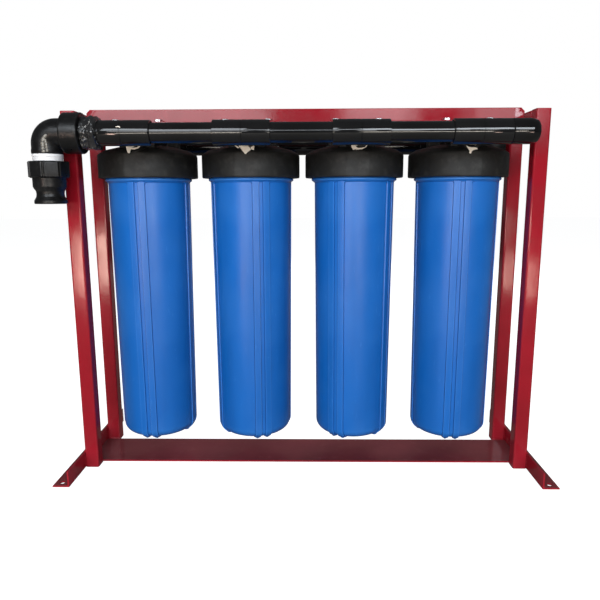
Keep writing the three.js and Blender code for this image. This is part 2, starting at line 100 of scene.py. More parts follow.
def loft(rings, loop=False):
    """Vertices and faces of a skin over rings of equal length, closed with a face at either end
    or joined end to end in a loop."""
    count = len(rings[0])
    verts = np.concatenate([np.asarray(r, float) for r in rings])
    faces = []
    last = len(rings) if loop else len(rings) - 1
    for i in range(last):
        a, b = i * count, ((i + 1) % len(rings)) * count
        for j in range(count):
            k = (j + 1) % count
            faces.append((a + j, a + k, b + k, b + j))
    if not loop:
        start = (len(rings) - 1) * count
        faces.append(tuple(range(count - 1, -1, -1)))
        faces.append(tuple(range(start, start + count)))
    return verts, faces


def join(*parts):
    """Several (verts, faces) shells as one."""
    verts, faces, start = [], [], 0
    for v, f in parts:
        verts.append(np.asarray(v, float))
        faces += [tuple(i + start for i in face) for face in f]
        start += len(v)
    return np.concatenate(verts), faces


def turned(profile, count=64, swell=None):
    """Skin of revolution about Z. A profile that starts and ends on the axis is closed there,
    any other is taken as a closed loop. swell(angle, radius, height) changes the radius."""
    angles = np.arange(count) / count * TAU
    rings = []
    for radius, height in profile:
        r = np.full(count, float(radius))
        if swell is not None:
            r = np.array([swell(a, radius, height) for a in angles])
        rings.append(np.column_stack([r * np.cos(angles), r * np.sin(angles),
                                      np.full(count, float(height))]))
    return loft(rings, loop=profile[0][0] > 1e-6 and profile[-1][0] > 1e-6)


def placed(shape, axis="Z", at=(0, 0, 0)):
    """A shape built about Z, laid along the axis and moved to its place."""
    v, faces = shape
    if axis == "X":
        v = np.column_stack([v[:, 2], v[:, 1], -v[:, 0]])
    elif axis == "Y":
        v = np.column_stack([v[:, 0], v[:, 2], -v[:, 1]])
    return v + np.array(at, float), faces


def make_mesh(name, shape, sharp=CREASE_DEG):
    """A Blender mesh in metres, welded, with outward normals and creased hard edges."""
    verts, faces = shape
    mesh = bpy.data.meshes.new(name)
    mesh.from_pydata((np.asarray(verts) * MM).tolist(), [], faces)
    work = bmesh.new()
    work.from_mesh(mesh)
    bmesh.ops.remove_doubles(work, verts=work.verts, dist=2e-6)
    bmesh.ops.dissolve_degenerate(work, edges=work.edges, dist=1e-7)
    bmesh.ops.recalc_face_normals(work, faces=work.faces)
    work.to_mesh(mesh)
    work.free()
    finish_mesh(mesh, sharp)
    return mesh


def finish_mesh(mesh, sharp):
    """Smooth shading, with the edges sharper than the given angle creased."""
    mesh.polygons.foreach_set("use_smooth", [True] * len(mesh.polygons))
    mesh.set_sharp_from_angle(angle=math.radians(sharp))
    mesh.update()


def flatten(mesh):
    """Creases the seam between each flat and its rounded corner, so that the flats shade flat."""
    work = bmesh.new()
    work.from_mesh(mesh)
    for edge in work.edges:
        turn = math.degrees(edge.calc_face_angle(0.0))
        if len(edge.link_faces) == 2 and FLAT_SEAM_DEG[0] < turn < FLAT_SEAM_DEG[1]:
            edge.smooth = False
    work.to_mesh(mesh)
    work.free()
    return mesh


def add(name, data):
    """A new object in the scene."""
    made = bpy.data.objects.new(name, data)
    bpy.context.scene.collection.objects.link(made)
    return made


def worked(name, shape, booleans, steps, sharp):
    """A shape's mesh after exact booleans with other shapes and then the given modifiers.
    A boolean is (operation, other shape, whether the shape may overlap itself)."""
    source = add("scratch", make_mesh(name, shape))
    helpers = [source]
    cuts = []
    for operation, other, overlapping in booleans:
        helpers.append(add("scratch", make_mesh(name + "_tool", other)))
        cuts.append(("BOOLEAN", {"operation": operation, "object": helpers[-1], "solver": "EXACT",
                                 "use_self": overlapping}))
    for kind, settings in cuts + steps:
        modifier = source.modifiers.new(kind, kind)
        for key, value in settings.items():
            setattr(modifier, key, value)
    graph = bpy.context.evaluated_depsgraph_get()
    mesh = bpy.data.meshes.new_from_object(source.evaluated_get(graph))
    finish_mesh(mesh, sharp)
    for helper in helpers:
        bpy.data.objects.remove(helper)
    return mesh


def moulded(name, shape, voxel, smooth, cutters=()):
    """Overlapping shells fused into one skin with soft moulded corners."""
    steps = [("REMESH", {"mode": "VOXEL", "voxel_size": voxel * MM, "adaptivity": 0.0}),
             ("SMOOTH", {"factor": 0.5, "iterations": smooth})]
    cuts = [("DIFFERENCE", cutter, True) for cutter in cutters]
    return worked(name, shape, cuts, steps, NO_CREASE_DEG)


def place(name, mesh, body, finish, replaced=(), at=(0, 0, 0)):
    """Links a mesh as a named piece that rides on a CAD body."""
    piece = add(name, mesh)
    piece.location = Vector(at) * MM
    if not mesh.materials:
        mesh.materials.append(materials[finish])
    bpy.context.view_layer.update()
    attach(piece, body)
    if replaced:
        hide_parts(*replaced)


# ------------------------------------------------------------------ materials
materials = {}
EDGE_HIGHLIGHT = 0.51, 0.56                  # pointiness where the painted highlight on an edge starts, and where it is full
# pointiness where the painted shade in a hollow starts, and where it is full
HOLLOW_SHADE = 0.49, 0.44


class Nodes:
    """A node tree put together node by node."""

    def __init__(self, owner):
        owner.use_nodes = True
        self.tree = owner.node_tree
        self.tree.nodes.clear()

    def node(self, kind, **inputs):
        """A new node. Each input is a socket's name, with _ for a space, and what feeds it."""
        made = self.tree.nodes.new(kind)
        for name, value in inputs.items():
            self.feed(made.inputs[name.replace("_", " ")], value)
        return made

    def feed(self, socket, value):
        """Links another node's output to the socket, or sets a constant on it."""
        if isinstance(value, bpy.types.NodeSocket):
            self.tree.links.new(value, socket)
        else:
            socket.default_value = value

    def shown(self, output, other, seen):
        """Ends the tree: the camera sees one shader, everything else is lit by the other."""
        path = self.node("ShaderNodeLightPath")
        mixed = self.node("ShaderNodeMixShader", Fac=path.outputs["Is Camera Ray"])
        self.feed(mixed.inputs[1], other.outputs[0])
        self.feed(mixed.inputs[2], seen.outputs[0])
        self.node(output, Surface=mixed.outputs[0])


class Paint(Nodes):
    """A Principled material, its textures in object coordinates."""

    def __init__(self, name, roughness, metallic=0.0, specular=0.5, coat=0.0, coat_rough=0.1):
        materials[name] = bpy.data.materials.new(name)
        super().__init__(materials[name])
        self.shader = self.node(
            "ShaderNodeBsdfPrincipled", Roughness=roughness, Metallic=metallic, IOR=1.5,
            Specular_IOR_Level=specular, Coat_Weight=coat, Coat_Roughness=coat_rough)
        self.node("ShaderNodeOutputMaterial", Surface=self.shader.outputs[0])
        self.coords = self.node("ShaderNodeTexCoord").outputs["Object"]

    def noise(self, scale, detail, rough, stretch=None):
        source = self.coords
        if stretch is not None:
            source = self.node("ShaderNodeMapping", Vector=source, Scale=stretch).outputs[0]
        return self.node("ShaderNodeTexNoise", Vector=source, Scale=scale, Detail=detail,
                         Roughness=rough).outputs["Fac"]

    def pointiness(self):
        """About 0.5 on a flat, more on an edge, less in a hollow."""
        return self.node("ShaderNodeNewGeometry").outputs["Pointiness"]

    def span(self, value, low, high, to_low, to_high):
        """The value mapped from one range to another, and held within it."""
        return self.node("ShaderNodeMapRange", Value=value, From_Min=low, From_Max=high,
                         To_Min=to_low, To_Max=to_high).outputs[0]

    def mix(self, factor, a, b):
        mixed = self.node("ShaderNodeMix")
        mixed.data_type = "RGBA"
        for index, value in ((0, factor), (6, a), (7, b)):
            self.feed(mixed.inputs[index], value)
        return mixed.outputs[2]

    def layer(self, tone, value, low, high, amount, colour):
        """The colour laid over the tone where the value passes from low to high."""
        return self.mix(self.span(value, low, high, 0, amount), tone, colour)

    def bump(self, *layers):
        """Each layer is (height, strength, distance in millimetres)."""
        last = None
        for value, strength, distance in layers:
            bump = self.node("ShaderNodeBump", Height=value, Strength=strength,
                             Distance=distance * MM)
            if last is not None:
                self.feed(bump.inputs["Normal"], last)
            last = bump.outputs[0]
        self.feed(self.shader.inputs["Normal"], last)
        if self.shader.inputs["Coat Weight"].default_value:
            self.feed(self.shader.inputs["Coat Normal"], last)

    def color(self, value):
        self.feed(self.shader.inputs["Base Color"], value)

    def rough(self, value, low, high):
        self.feed(self.shader.inputs["Roughness"], self.span(value, 0.3, 0.7, low, high))


def rgb(code):
    """Linear colour of an sRGB hex code."""
    out = []
    for k in (0, 2, 4):
        c = int(code[k:k + 2], 16) / 255
        out.append(c / 12.92 if c <= 0.04045 else ((c + 0.055) / 1.055) ** 2.4)
    return (*out, 1.0)


def red_paint(name, base, dark, light, specular):
    """Sprayed gloss enamel: orange peel, slow tone drift, dark specks, a painted highlight on the
    edges and painted shade in the corners.
    """
    p = Paint(name, roughness=0.3, specular=specular)
    tone = p.layer(base, p.noise(6.0, 3, 0.6), 0.35, 0.65, 1, dark)
    tone = p.layer(tone, p.noise(38.0, 4, 0.6, stretch=(1, 1, 0.12)), 0.55, 0.8, 0.35, light)
    tone = p.layer(tone, p.noise(620.0, 2, 0.5), 0.70, 0.76, 0.5, dark)
    # Painted highlight on the edges, painted shade in the hollows.
    tone = p.layer(tone, p.pointiness(), *EDGE_HIGHLIGHT, 0.4, light)
    tone = p.layer(tone, p.pointiness(), *HOLLOW_SHADE, 0.5, dark)
    p.color(tone)
    p.rough(p.noise(24.0, 4, 0.6), 0.07, 0.15)
    p.bump((p.noise(260.0, 2, 0.5), 0.12, 0.15), (p.noise(30.0, 3, 0.5), 0.14, 0.7))


def moulded_plastic(name, base, light, dark, rough_low, rough_high, grain, specular):
    """Injection-moulded plastic: fine grain, scuffs, handling marks and a painted highlight on the
    edges.
    """
    p = Paint(name, roughness=(rough_low + rough_high) / 2, specular=specular)
    tone = p.layer(base, p.noise(9.0, 4, 0.6), 0.3, 0.7, 1, dark)
    tone = p.layer(tone, p.noise(55.0, 5, 0.65), 0.52, 0.8, 0.55, light)
    tone = p.layer(tone, p.noise(430.0, 2, 0.5), 0.68, 0.75, 0.6, light)
    # Painted highlight on the edges.
    tone = p.layer(tone, p.pointiness(), *EDGE_HIGHLIGHT, 0.3, light)
    p.color(tone)
    p.rough(p.noise(70.0, 4, 0.6), rough_low, rough_high)
    p.bump((p.noise(900.0, 2, 0.5), grain, 0.3), (p.noise(45.0, 3, 0.5), grain * 0.6, 0.8))


def bowl_plastic():
    """Satin blue polypropylene: faint flow lines, scuffs, a few dark specks, painted shade in the
    hollows and a painted highlight on the edges.
    """
    p = Paint("bowl_blue", roughness=0.34, specular=0.42)
    base, deep, pale = rgb("1061B3"), rgb("0C529C"), rgb("4688D6")
    tone = p.layer(base, p.noise(14.0, 3, 0.6, stretch=(1, 1, 0.18)), 0.35, 0.7, 0.6, deep)
    tone = p.layer(tone, p.noise(7.0, 2, 0.5), 0.45, 0.75, 0.25, pale)
    tone = p.layer(tone, p.noise(160.0, 4, 0.7, stretch=(1, 1, 0.25)), 0.62, 0.78, 0.3, pale)
    cells = p.node("ShaderNodeTexVoronoi", Vector=p.coords, Scale=70.0).outputs["Distance"]
    both = p.node("ShaderNodeMath")
    both.operation = "MULTIPLY"
    p.feed(both.inputs[0], p.span(cells, 0.0, 0.035, 0.75, 0.0))
    p.feed(both.inputs[1], p.span(p.noise(18.0, 1, 0.5), 0.58, 0.62, 0, 1))
    tone = p.mix(both.outputs[0], tone, rgb("0E2F63"))
    # Painted shade in the hollows of the channels and panels, then a painted highlight on the
    # edges.
    tone = p.layer(tone, p.pointiness(), 0.495, 0.465, 0.8, rgb("0B3474"))
    tone = p.layer(tone, p.pointiness(), 0.505, 0.54, 0.4, pale)
    p.color(tone)
    p.rough(p.noise(40.0, 4, 0.65, stretch=(1, 1, 0.4)), 0.29, 0.43)
    p.bump((p.noise(700.0, 2, 0.5), 0.12, 0.2), (p.noise(22.0, 2, 0.5), 0.25, 1.0))


def gloss_pipe():
    """Black pressure pipe and fittings: glossy, slightly rippled, dusty in places."""
    p = Paint("pipe_gloss", roughness=0.1, specular=0.45)
    tone = p.layer(rgb("090909"), p.noise(12.0, 4, 0.6), 0.35, 0.7, 1, rgb("0E0E0F"))
    tone = p.layer(tone, p.noise(380.0, 3, 0.6), 0.70, 0.80, 0.3, rgb("5C5A56"))
    # Painted highlight on the edges.
    tone = p.layer(tone, p.pointiness(), *EDGE_HIGHLIGHT, 0.25, rgb("303031"))
    p.color(tone)
    p.rough(p.noise(60.0, 4, 0.6, stretch=(0.35, 1, 1)), 0.04, 0.08)
    p.bump((p.noise(90.0, 3, 0.5, stretch=(0.3, 1, 1)), 0.08, 0.5),
           (p.noise(800.0, 2, 0.5), 0.1, 0.15))


def sealant_gloss():
    """Wet-looking black sealant smeared over the nut."""
    p = Paint("sealant_gloss", roughness=0.16, specular=0.6, coat=0.6, coat_rough=0.06)
    tone = p.layer(rgb("121213"), p.noise(60.0, 4, 0.6), 0.4, 0.7, 1, rgb("2A2A2B"))
    # Pale grey patches: painted glints, standing partly for the bare nut showing through the
    # sealant.
    tone = p.layer(tone, p.noise(150.0, 4, 0.7), 0.60, 0.66, 0.8, rgb("B9B8B4"))
    p.color(tone)
    p.rough(p.noise(110.0, 4, 0.6), 0.07, 0.25)
    p.bump((p.noise(130.0, 3, 0.55), 1.0, 2.4), (p.noise(420.0, 2, 0.5), 0.4, 0.6))


def zinc():
    """Bright zinc plating with a faint brushed turn and dull spots."""
    p = Paint("zinc_plate", roughness=0.28, metallic=1.0)
    tone = p.layer(rgb("E4E5E8"), p.noise(120.0, 4, 0.6), 0.35, 0.7, 1, rgb("B9BABC"))
    p.color(tone)
    p.rough(p.noise(300.0, 3, 0.6), 0.18, 0.4)
    p.bump((p.noise(900.0, 2, 0.5), 0.15, 0.2))


def fibre():
    """Wound white filter yarn: crossing diagonal strands."""
    p = Paint("filter_fibre", roughness=0.95, specular=0.15)
    wave = p.node("ShaderNodeTexWave", Vector=p.coords, Scale=60.0, Distortion=2.0)
    wave.bands_direction = "Z"
    tone = p.mix(wave.outputs["Fac"], rgb("E9E6DA"), rgb("CFCABA"))
    p.color(tone)
    p.rough(p.noise(200.0, 3, 0.6), 0.85, 1.0)
    p.bump((wave.outputs["Fac"], 0.7, 1.0), (p.noise(900.0, 2, 0.5), 0.3, 0.3))


red_paint("red_enamel", rgb("941322"), rgb("80101B"), rgb("A42A36"), 0.4)
# A darker, duller copy of the red enamel: painted shade for the plate and the feet's upward faces.
red_paint("red_enamel_shaded", rgb("783438"), rgb("60282C"), rgb("8C4A4C"), 0.12)
bowl_plastic()
moulded_plastic("cap_black", rgb("151514"), rgb("373633"), rgb("10100F"), 0.5, 0.68, 0.5, 0.4)
moulded_plastic("satin_black", rgb("111112"), rgb("363636"), rgb("0D0D0D"), 0.26, 0.4, 0.3, 0.3)
moulded_plastic("white_pvc", rgb("E8E8E9"), rgb("F2F2F2"), rgb("D8D9DC"), 0.3, 0.45, 0.15, 0.5)
moulded_plastic("sealant_grey", rgb("4A4844"), rgb("C9C2B4"), rgb("2A2927"), 0.15, 0.35, 0.6, 0.5)
moulded_plastic("seal_black", rgb("121212"), rgb("333333"), rgb("0D0D0D"), 0.6, 0.8, 0.3, 0.4)
moulded_plastic("thread_tape", rgb("F4EADA"), rgb("FCF8F0"), rgb("D8CCB8"), 0.6, 0.8, 0.4, 0.3)
gloss_pipe()
sealant_gloss()
zinc()
fibre()


# ------------------------------------------------------------------ stand
TUBE_WALL = 2.0
TUBE_CORNER = 3.2
ANGLE_THICK = 3.0                  # feet and cap rails


def outline_box(x0, x1, y0, y1, radius, steps=4):
    """Rounded rectangle as an outline, counter-clockwise."""
    return rounded([(x0, y0), (x1, y0), (x1, y1), (x0, y1)], radius, steps, closed=True)


def ring_at(outline, height):
    """An outline in X and Y as a level ring."""
    return np.column_stack([outline, np.full(len(outline), float(height))])


def square_tube(low, high):
    """Upright square tube between two corners, open at the foot and capped at the head."""
    def outline(inset):
        return outline_box(low.x + inset, high.x - inset, low.y + inset, high.y - inset,
                           TUBE_CORNER - inset)
    outer, inner = outline(0.0), outline(TUBE_WALL)
    foot = low.z + 0.3
    steps = 14
    rings = [ring_at(inner, high.z - TUBE_WALL), ring_at(inner, foot), ring_at(outer, foot)]
    rings += [ring_at(outer, foot + (high.z - low.z - 0.9) * k / steps)
              for k in range(1, steps + 1)]
    rings += [ring_at(outline(0.5), high.z)]
    return loft(rings)


def bar(outline, stations):
    """Skin along X over an outline in Y and Z."""
    return loft([np.column_stack([np.full(len(outline), x), outline]) for x in stations])


def beam(outline, stations):
    """Skin along Y over an outline in X and Z."""
    return loft([np.column_stack([outline[:, 0], np.full(len(outline), y), outline[:, 1]])
                 for y in stations])


def hoop(centre, side, up, wide, tall, count):
    """Points round an ellipse about the centre."""
    return np.array([tuple(centre + side * (wide * math.cos(a)) + up * (tall * math.sin(a)))
                     for a in np.arange(count) / count * TAU])


def weld(points, radius, seed, height=0.5):
    """A bead of overlapping ripples along a polyline of points in millimetres."""
    points = [Vector(p) for p in points]
    path = []
    for a, b in zip(points, points[1:]):
        steps = max(2, int((b - a).length / 1.1))
        path += [a.lerp(b, k / steps) for k in range(steps)]
    path.append(points[-1])
    rings = []
    for i, p in enumerate(path):
        ahead = path[min(i + 1, len(path) - 1)] - path[max(i - 1, 0)]
        ahead.normalize()
        side = ahead.cross(Vector((0.31, 0.23, 0.92))).normalized()
        up = side.cross(ahead)
        wobble = noise.noise(Vector((seed, i * 0.37, 0.0)))
        r = radius * (0.86 + 0.16 * abs(math.sin(i * 0.9)) + 0.22 * wobble)
        if i in (0, len(path) - 1):
            r *= 0.35
        rings.append(hoop(p, side, up, r, r * (0.75 + height * 0.5), 10))
    return loft(rings)


def stand_pieces():
    for side in ("left", "right"):
        for row in ("front", "rear"):
            node = f"leg_{row}_{side}"
            place("tube_" + node, flatten(make_mesh(node, square_tube(*box(node)))), "stand",
                  "red_enamel", [node])
        node = f"side_rail_{side}"
        low, high = box(node)
        outline = outline_box(low.x, high.x, low.z, high.z, TUBE_CORNER)
        shape = beam(outline, np.linspace(low.y, high.y, 6))
        place("tube_" + node, flatten(make_mesh(node, shape)), "stand", "red_enamel", [node])
        foot_piece(side)

    low, high = box("base_plate")
    outline = outline_box(low.y, high.y, low.z, high.z, 0.6, 3)
    mesh = flatten(make_mesh("base_plate", bar(outline, np.linspace(low.x, high.x, 25))))
    mesh.materials.append(materials["red_enamel_shaded"])
    mesh.materials.append(materials["red_enamel"])
    # Painted shade: every face of the plate except the front ones takes the darker copy of the
    # enamel.
    for face in mesh.polygons:
        face.material_index = int(face.normal.y < -0.6)
    place("plate_base", mesh, "stand", "red_enamel_shaded", ["base_plate"])

    rail_piece("front", -1)
    rail_piece("rear", 1)


def foot_piece(side):
    """Rolled angle iron with a rounded heel, a hole near each end."""
    node = f"foot_{side}"
    low, high = box(node)
    sign = -1 if side == "left" else 1
    heel = high.x if sign < 0 else low.x
    tip = low.x if sign < 0 else high.x
    web = heel + sign * ANGLE_THICK
    outline = rounded(
        [(heel, 0.0), (tip, 0.0), (tip, ANGLE_THICK), (web, ANGLE_THICK), (web, high.z),
         (heel, high.z)], [0.8, 0.6, 1.4, 3.0, 1.4, 0.6], 3, closed=True)
    shape = beam(outline, np.linspace(low.y, high.y, 9))
    hole_x = (web + tip) / 2
    drill = turned([(0, -5), (4.5, -5), (4.5, 8), (0, 8)], 28)
    holes = [("DIFFERENCE", placed(drill, "Z", (hole_x, y, 0)), False)
             for y in (low.y + 12, high.y - 12)]
    bevel = ("BEVEL", {"width": 0.25 * MM, "segments": 2, "limit_method": "ANGLE",
                       "angle_limit": math.radians(40), "harden_normals": False})
    mesh = flatten(worked(node, shape, holes, [bevel], CREASE_DEG))
    mesh.materials.append(materials["red_enamel"])
    mesh.materials.append(materials["red_enamel_shaded"])
    # Painted shade: the upward face of the low flange takes the darker copy of the enamel.
    for face in mesh.polygons:
        face.material_index = int(face.normal.z > 0.8 and face.center.z < 4 * MM)
    place("angle_" + node, mesh, "stand", "red_enamel", [node])


def rail_piece(name, sign):
    """Angle rail over the caps with clipped upper corners."""
    node = f"cap_rail_{name}"
    low, high = box(node)
    heel = high.y if sign < 0 else low.y
    tip = low.y if sign < 0 else high.y
    face = heel + sign * ANGLE_THICK
    shelf = low.z + ANGLE_THICK
    outline = rounded(
        [(heel, low.z), (tip, low.z), (tip, shelf), (face, shelf), (face, high.z), (heel, high.z)],
        [0.8, 0.5, 1.0, 2.5, 1.0, 0.6], 3, closed=True)
    rings = []
    clip = 6.0
    middle = np.linspace(low.x + 20, high.x - 20, 30)
    for x in (low.x, low.x + clip, *middle, high.x - clip, high.x):
        edge = min(x - low.x, high.x - x)
        ceiling = high.z - max(0.0, clip - edge)
        rings.append(np.column_stack([
            np.full(len(outline), x), outline[:, 0], np.minimum(outline[:, 1], ceiling)]))
    mesh = flatten(make_mesh(node, loft(rings)))
    place("angle_" + node, mesh, "stand", "red_enamel", [node])


def screw_shape():
    """Hex flange screw: chamfered head on a washer face, threaded shank below."""
    def hexagon(angle, radius, height):
        if radius <= 8.6 and height > 1.2:
            inner = 6.5 / math.cos(angle % (math.pi / 3) - math.pi / 6)
            return min(inner, radius)
        return radius
    head = turned([(0, 0), (8.4, 0.0), (8.4, 0.5), (7.9, 1.1), (7.45, 1.25), (7.45, 3.7),
                   (7.3, 4.2), (6.2, 4.85), (5.6, 4.95), (0, 4.95)], 48, hexagon)
    thread = [(0, -20.0), (3.0, -20.0)]
    for k in range(18):
        z = -19.5 + k * 1.0
        thread += [(3.3, z), (3.9, z + 0.5)]
    thread += [(3.5, -0.5), (3.5, 0.3), (0, 0.3)]
    return join(head, turned(thread, 20))


def screw_pieces():
    mesh = make_mesh("hex_screw", screw_shape(), 25)
    seat = box("cap_rail_front")[0].z + ANGLE_THICK
    for number in HOUSINGS:
        for side in ("left", "right"):
            node = f"screw_{number}_{side}"
            x, y, _ = (box(node)[0] + box(node)[1]) / 2
            place("hex_" + node, mesh, "stand", "zinc_plate", [node], (x, y, seat))
            place(f"hex_rear_{number}_{side}", mesh, "stand", "zinc_plate", (),
                  (x, -y, seat))


# ------------------------------------------------------------------ housings
def cap_mesh():
    """Cap about the Z axis at the origin: skirt with a flat at each port, dome, ports, screw
    pads and the bore for the bowl's neck."""
    low, high = box("cap_1")
    z0, top = low.z, high.z
    flat = 90.0

    def skirt_swell(angle, radius, height):
        lean = abs(math.sin(angle))
        return min(radius, flat / lean) if radius >= 86.0 and lean > 0.5 else radius

    outside = rounded([
        (0, z0 + 0.6), (81.0, z0 + 0.6), (82.5, z0), (92.0, z0), (92.0, z0 + 42.6),
        (80.0, z0 + 50.0), (50.0, z0 + 57.6), (0, z0 + 57.6)],
        [0, 0.6, 0.6, 1.6, 5.0, 9.0, 5.0, 0], 4)
    port = rounded([(0, 20.0), (23.0, 20.0), (23.0, 94.0), (18.4, 94.0), (17.4, 92.6),
                    (17.4, 76.0), (0, 76.0)], [0, 0, 1.4, 0.6, 0, 0, 0], 3)
    rear_port, faces = placed(turned(port.tolist(), 72), "Y", (0, 0, AXIS_Z))
    parts = [turned(outside.tolist(), 180, skirt_swell),
             (rear_port * [-1, -1, 1], faces), (rear_port, faces)]
    for y in (-60.0, 60.0):
        ears = outline_box(-47, 47, y - 11, y + 11, 3.0)
        web = outline_box(-32, 32, y - 11, y + 11, 3.0)
        parts.append(loft([ring_at(web, z0 + 40.0), ring_at(web, z0 + 61.0)]))
        parts.append(loft([ring_at(ears, z0 + 59.0), ring_at(ears, top - 0.6)]))
    bore = turned([(0, z0 - 4), (80.4, z0 - 4), (80.4, z0 + 35.5), (24, z0 + 35.5), (22, z0 + 26),
                   (14, z0 + 26), (13, z0 + 13), (0, z0 + 13)], 120)
    return moulded("cap", join(*parts), 1.6, 3, [bore])


def sample_line(start, stop, step):
    """Even stations from start up to, and without, stop."""
    count = max(1, int(round((stop - start) / step)))
    return [start + (stop - start) * k / count for k in range(count)]


BAND_OUTER = 15.8                  # half width of a rib group
CHANNEL_HALF = 3.9                 # half width of the channel between its two bands
POCKET = 2.1                       # depth of channel and panel below the bands
POCKET_TOP = 531.0
POCKET_CORNER = 3.0


def bowl_mesh():
    """One bowl about the Z axis: a tube that narrows a little, with four sunk panels and, between
    them, pairs of bands with a narrow sunk channel that run round the bottom corner."""
    neck_top = box("sump_1")[1].z
    radius = 76.4
    # Stations round one quarter, as arc lengths from the middle of a band pair.
    quarter = radius * math.pi / 2
    half = quarter / 2
    dense = BAND_OUTER + 5.0
    right = []
    for start, stop, step in (
        (0.0, CHANNEL_HALF - 0.9, 1.0), (CHANNEL_HALF - 0.9, CHANNEL_HALF + 0.9, 0.45),
        (CHANNEL_HALF + 0.9, BAND_OUTER - 0.9, 2.5), (BAND_OUTER - 0.9, BAND_OUTER + 0.9, 0.45),
        (BAND_OUTER + 0.9, dense, 0.8), (dense, half, 4.4),
    ):
        right += sample_line(start, stop, step)
    left = [-half] + [-s for s in reversed(right[1:])]
    stations = [s + k * quarter for k in range(4) for s in (left + right)]
    arc = np.array(stations)
    near = np.array([(s + half) % quarter - half for s in stations])

    def spread(r):
        """Angles of the stations on a ring; the bands keep their width down to the foot."""
        reach = max(r, 52.0)
        edge = math.asin(dense / reach)
        side = np.abs(near)
        inner = np.arcsin(np.clip(side, 0, dense) / reach)
        outer = edge + (side - dense) / (half - dense) * (math.pi / 4 - edge)
        turn = np.sign(near) * np.where(side <= dense, inner, outer)
        return (arc - near) / radius - math.pi / 2 + turn

    # Outer profile from the bottom centre up: radius, height, outward normal, pocket reach.
    bottom, corner, foot = 40.0, 20.0, 72.6
    rows = [(0.0, bottom + 2.2, 0, -1), (20.0, bottom + 2.0, 0, -1), (36.0, bottom + 1.0, 0, -1)]
    rows += [(foot - corner - d, bottom + 0.25 * d / 8, 0.0, -1.0)
             for d in (8.0, 5.5, 4.0, 2.5, 1.0)]
    for k in range(13):
        turn = k / 12 * math.pi / 2
        rows.append((foot - corner + corner * math.sin(turn),
                     bottom + corner * (1 - math.cos(turn)), math.sin(turn), -math.cos(turn)))
    straight = [*np.linspace(66.0, 514.0, 17), *np.linspace(518.0, POCKET_TOP - 1.0, 8),
                *np.linspace(POCKET_TOP - 0.6, POCKET_TOP + 0.6, 4)]
    for z in straight:
        t = (z - 60.0) / (POCKET_TOP - 60.0)
        rows.append((foot + (radius - foot) * t, z, 1.0, 0.0))
    rings = []
    d = np.abs(near)
    for r, z, nx, nz in rows:
        inside_top = POCKET_TOP - z
        # Distance inside the channel and inside the panel, measured to their outlines.
        chan = np.minimum(CHANNEL_HALF - d, inside_top)
        pane_x = d - BAND_OUTER
        cx = np.clip(POCKET_CORNER - pane_x, 0, None)
        cz = max(POCKET_CORNER - inside_top, 0.0)
        pane = np.where((cx > 0) & (cz > 0), POCKET_CORNER - np.hypot(cx, cz),
                        np.minimum(pane_x, inside_top))
        inside = np.maximum(chan, pane)
        depth = np.clip((inside + 0.35) / 0.7, 0, 1)
        depth = depth * depth * (3 - 2 * depth) * POCKET
        if r < foot - corner - 2.0:
            fade = max(0.0, min(1.0, (r - (foot - corner - 8.0)) / 6.0))
            depth = depth * fade + POCKET * (1 - fade)
        # Rounded feet at the lower end of each band.
        low_end = max(0.0, 1.0 - abs(r - (foot - corner + 4.0)) / 6.0) if z < bottom + 8 else 0.0
        nub = 2.6 * min(1.0, low_end * 2.0) * np.clip(1.0 - ((d - 9.7) / 3.6) ** 2, 0, 1)
        angles = spread(r)
        rr = r + (-depth + nub) * nx
        zz = z + (-depth + nub) * nz
        rings.append(np.column_stack([rr * np.cos(angles), rr * np.sin(angles), zz]))
    top = [(76.9, 532.3), (77.3, 532.9), (79.0, 533.6), (79.9, 534.6), (80.2, 536.0),
           (79.9, 537.4), (79.2, 538.3), (78.2, 538.7), (78.2, 541.0)]
    for k in range(6):
        z = 543.0 + k * 4.6
        top += [(77.4, z), (78.7, z + 1.4), (78.7, z + 2.2), (77.4, z + 3.4)]
    top += [(78.6, 571.0), (78.6, neck_top - 0.6), (78.0, neck_top), (77.9, 569.5), (72.2, 569.5)]
    top += [(72.2, neck_top), (70.3, neck_top), (70.2, 560.0), (70.0, 536.0), (69.9, 526.0)]
    inner_foot = 65.0
    inner = [(66.0, 300.0), (inner_foot, 66.0), (inner_foot - 2, 56.0), (inner_foot - 10, 48.6),
             (30.0, 47.5), (26.4, 48.6), (26.0, 55.2), (25.2, 56.0), (13.4, 56.0), (12.5, 57.0),
             (12.5, 75.0), (11.5, 76.0), (0.0, 76.0)]
    angles = spread(radius)
    for r, z in top + inner:
        rings.append(ring_at(np.column_stack([r * np.cos(angles), r * np.sin(angles)]), z))
    return make_mesh("bowl", loft(rings), 50)


BOWL_TURNS_DEG = -3.5, 18.5, -29.0, -5.6    # how each bowl's ribs stand in the photo


